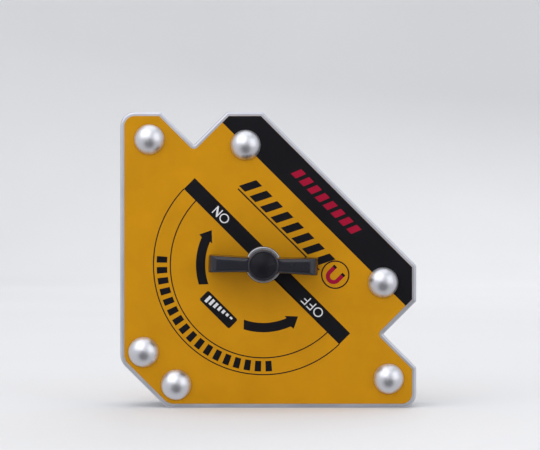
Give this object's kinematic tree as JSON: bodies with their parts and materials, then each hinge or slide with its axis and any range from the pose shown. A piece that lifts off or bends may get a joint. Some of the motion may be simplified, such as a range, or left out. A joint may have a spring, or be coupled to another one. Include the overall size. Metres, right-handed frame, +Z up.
{
  "type": "switchable welding magnet holder",
  "caption": "Flat multi-angle magnetic welding holder with two steel pole plates, V notches for pipe, and a turn knob that switches the magnets on and off.",
  "frame": {"origin": "on the long bottom working face, under the switch axis, midway between the front and the rear plate", "axes": "+X to the right and +Z up as seen from the front; the printed front with the knob looks along -Y; it stands upright on its bottom working face"},
  "size_m": [0.102, 0.0485, 0.102],
  "materials": {
    "plate_steel": "ground steel edges, satin sides",
    "frame_aluminium": "cast, edges ground flush",
    "label_yellow": "printed face sheet, satin",
    "ink_black": "black print",
    "ink_white": "white print",
    "ink_red": "red print",
    "rivet_aluminium": "bright, pressed",
    "pole_steel": "machined mild steel",
    "brass": "sheet, cut",
    "magnet_nickel": "nickel plated",
    "cup_aluminium": "turned",
    "stainless": "turned",
    "slip_plastic": "white low-friction sheet",
    "bush_chrome": "nickel plated brass",
    "seal_rubber": "nitrile",
    "knob_black": "moulded, satin gloss"
  },
  "bodies": {
    "holder": {"front_plate": "plate_steel", "rear_plate": "plate_steel", "spacer_frame": "frame_aluminium", "front_label": "label_yellow", "rear_label": "label_yellow", "rivets": "rivet_aluminium", "left_pole_shoe": "pole_steel", "right_pole_shoe": "pole_steel", "left_shim": "brass", "right_shim": "brass", "separator_strips": "brass", "fixed_magnet": "magnet_nickel", "fixed_magnet_cup": "cup_aluminium", "lock_pin": "stainless", "slip_disc": "slip_plastic", "front_bush": "bush_chrome", "stop_pin": "stainless"},
    "switch": {"rotating_magnet": "magnet_nickel", "magnet_carrier": "cup_aluminium", "thrust_washer": "slip_plastic", "switch_shaft": "stainless", "shaft_seal": "seal_rubber", "knob": "knob_black", "knob_cap": "knob_black", "knob_screw": "stainless"}
  },
  "joints": [
    {"name": "switch_turn", "type": "hinge", "parent": "holder", "child": "switch", "pos_m": [0, 0, 0.0493], "axis": [0, -1, 0], "range_deg": [-43.4, 136.6]}
  ]
}
